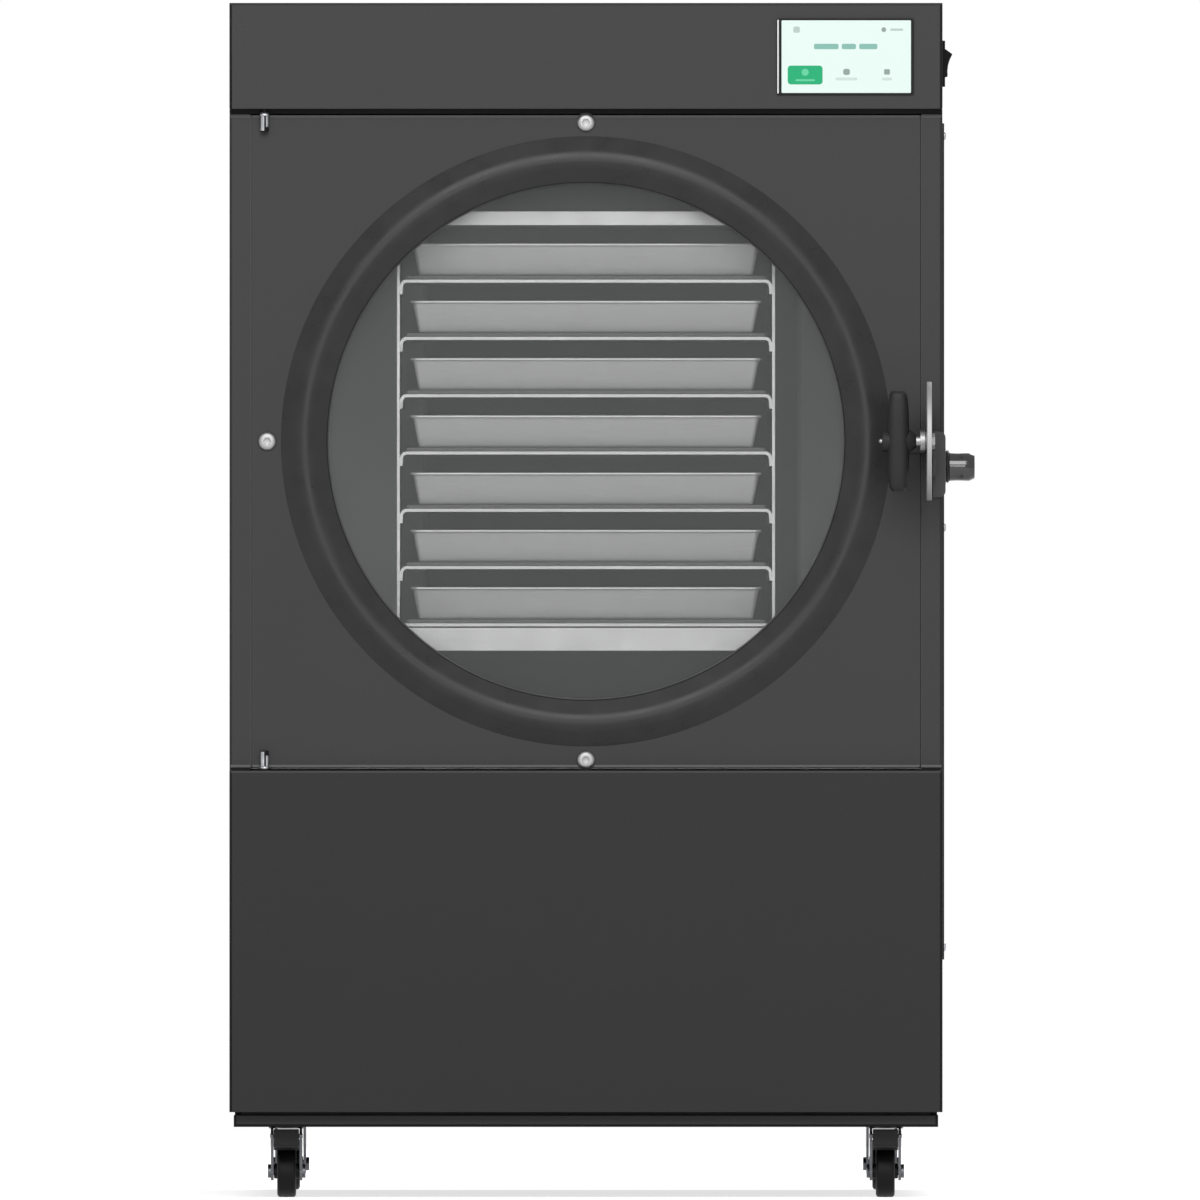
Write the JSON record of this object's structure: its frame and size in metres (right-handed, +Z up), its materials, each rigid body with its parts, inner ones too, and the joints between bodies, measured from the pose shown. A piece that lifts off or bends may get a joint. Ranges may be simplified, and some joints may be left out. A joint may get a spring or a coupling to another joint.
{
  "type": "freeze dryer",
  "caption": "Floor-standing freeze dryer on casters: hinged door with a round window, drum chamber with a shelf rack and trays, touch display, side latch and vacuum port.",
  "frame": {"origin": "on the floor, at the middle of the bottom face of the whole object's box", "axes": "+Z up, -Y out of the door at the front, +X to the right as seen from the front, where the vacuum port and the power switch are"},
  "size_m": [0.712, 0.8026, 1.14],
  "materials": {
    "cabinet_paint": "fine-textured dark grey powder coat",
    "door_paint": "fine-textured dark grey powder coat",
    "inner_black": "matte black paint",
    "deck_steel": "zinc-plated sheet",
    "zinc_steel": "bright zinc plating",
    "chamber_steel": "satin stainless steel",
    "rack_steel": "satin stainless steel with bright edges",
    "tray_steel": "matt stainless steel",
    "mat_rubber": "matte silicone",
    "gasket_rubber": "matte silicone",
    "window_clear": "clear, polished",
    "ring_black": "satin black",
    "screw_steel": "polished stainless steel",
    "port_chrome": "polished",
    "latch_steel": "satin stainless steel",
    "handle_black": "satin black, moulded",
    "bezel_black": "satin black",
    "screen_glass": "lit pale screen",
    "switch_black": "satin black",
    "copper_tube": "drawn copper",
    "foam": "open foam skin",
    "board_green": "circuit board with cased parts",
    "compressor_black": "semi-gloss black enamel",
    "fin_aluminium": "plain",
    "motor_black": "satin black",
    "guard_chrome": "bright plated",
    "fan_plastic": "moulded",
    "hose_clear": "milky flexible tube",
    "valve_brass": "machined",
    "lever_red": "dipped red sleeve",
    "inlet_black": "moulded",
    "wheel_rubber": "matte dark grey tread",
    "pedal_black": "moulded"
  },
  "bodies": {
    "cabinet": {"base_plate": "cabinet_paint", "caster_stems": "zinc_steel", "side_panel_left": "cabinet_paint", "side_panel_right": "cabinet_paint", "service_panel": "cabinet_paint", "rear_panel": "cabinet_paint", "lower_front_panel": "cabinet_paint", "front_bulkhead": "inner_black", "mid_deck": "deck_steel", "header_cover": "cabinet_paint", "header_floor": "inner_black", "hinge_pins": "latch_steel", "vacuum_chamber": "chamber_steel", "refrigerant_coil": "copper_tube", "chamber_insulation": "foam", "chamber_gasket": "gasket_rubber", "shelf_rack": "rack_steel", "heater_mats": "mat_rubber", "tray_1": "tray_steel", "tray_2": "tray_steel", "tray_3": "tray_steel", "tray_4": "tray_steel", "tray_5": "tray_steel", "tray_6": "tray_steel", "tray_7": "tray_steel", "display_bezel": "bezel_black", "display_screen": "screen_glass", "control_unit": "board_green", "switch_body": "switch_black", "vacuum_port": "port_chrome", "keeper_bracket": "zinc_steel", "compressor": "compressor_black", "condenser": "fin_aluminium", "fan_motor": "motor_black", "fan_guard": "guard_chrome", "drain_tube": "hose_clear", "drain_valve": "valve_brass", "power_inlet": "inlet_black", "panel_screws": "screw_steel"},
    "door": {"door_panel": "door_paint", "window_plate": "window_clear", "window_ring": "ring_black", "window_screws": "screw_steel", "latch_bracket": "latch_steel"},
    "latch": {"latch_shaft": "latch_steel", "latch_handle": "handle_black", "latch_cam": "latch_steel"},
    "rocker": {"power_rocker": "switch_black"},
    "fan": {"fan_rotor": "fan_plastic"},
    "drain_handle": {"drain_lever": "lever_red"},
    "fork_1": {"caster_fork_1": "zinc_steel"},
    "fork_2": {"caster_fork_2": "zinc_steel"},
    "fork_3": {"caster_fork_3": "zinc_steel"},
    "fork_4": {"caster_fork_4": "zinc_steel"},
    "wheel_1": {"caster_wheel_1": "wheel_rubber"},
    "wheel_2": {"caster_wheel_2": "wheel_rubber"},
    "wheel_3": {"caster_wheel_3": "wheel_rubber"},
    "wheel_4": {"caster_wheel_4": "wheel_rubber"},
    "pedal_1": {"brake_pedal_1": "pedal_black"},
    "pedal_2": {"brake_pedal_2": "pedal_black"}
  },
  "joints": [
    {"name": "door_hinge", "type": "hinge", "parent": "cabinet", "child": "door", "pos_m": [-0.3225, -0.28975, 0.722], "axis": [0, 0, -1], "range_deg": [0, 110]},
    {"name": "latch_turn", "type": "hinge", "parent": "door", "child": "latch", "pos_m": [0.31, -0.34475, 0.722], "axis": [1, 0, 0], "range_deg": [0, 90]},
    {"name": "power_rocker_tilt", "type": "hinge", "parent": "cabinet", "child": "rocker", "pos_m": [0.324, -0.21475, 1.083], "axis": [0, -1, 0], "range_deg": [0, 24]},
    {"name": "fan_spin", "type": "hinge", "parent": "cabinet", "child": "fan", "pos_m": [-0.151, 0.32425, 0.2423], "axis": [0, 1, 0], "continuous": true},
    {"name": "drain_lever_turn", "type": "hinge", "parent": "cabinet", "child": "drain_handle", "pos_m": [0.219, 0.37525, 0.1953], "axis": [0, 0, -1], "range_deg": [0, 90]},
    {"name": "caster_1_swivel", "type": "hinge", "parent": "cabinet", "child": "fork_1", "pos_m": [-0.302, -0.22475, 0.07], "axis": [0, 0, 1], "continuous": true},
    {"name": "caster_2_swivel", "type": "hinge", "parent": "cabinet", "child": "fork_2", "pos_m": [0.27, -0.22475, 0.07], "axis": [0, 0, 1], "continuous": true},
    {"name": "caster_3_swivel", "type": "hinge", "parent": "cabinet", "child": "fork_3", "pos_m": [-0.302, 0.29525, 0.07], "axis": [0, 0, 1], "continuous": true},
    {"name": "caster_4_swivel", "type": "hinge", "parent": "cabinet", "child": "fork_4", "pos_m": [0.27, 0.29525, 0.07], "axis": [0, 0, 1], "continuous": true},
    {"name": "caster_1_roll", "type": "hinge", "parent": "fork_1", "child": "wheel_1", "pos_m": [-0.302, -0.20675, 0.025], "axis": [1, 0, 0], "continuous": true},
    {"name": "caster_2_roll", "type": "hinge", "parent": "fork_2", "child": "wheel_2", "pos_m": [0.27, -0.20675, 0.025], "axis": [1, 0, 0], "continuous": true},
    {"name": "caster_3_roll", "type": "hinge", "parent": "fork_3", "child": "wheel_3", "pos_m": [-0.302, 0.31325, 0.025], "axis": [1, 0, 0], "continuous": true},
    {"name": "caster_4_roll", "type": "hinge", "parent": "fork_4", "child": "wheel_4", "pos_m": [0.27, 0.31325, 0.025], "axis": [1, 0, 0], "continuous": true},
    {"name": "brake_1_press", "type": "hinge", "parent": "fork_1", "child": "pedal_1", "pos_m": [-0.302, -0.23775, 0.059], "axis": [1, 0, 0], "range_deg": [0, 12]},
    {"name": "brake_2_press", "type": "hinge", "parent": "fork_2", "child": "pedal_2", "pos_m": [0.27, -0.23775, 0.059], "axis": [1, 0, 0], "range_deg": [0, 12]}
  ]
}
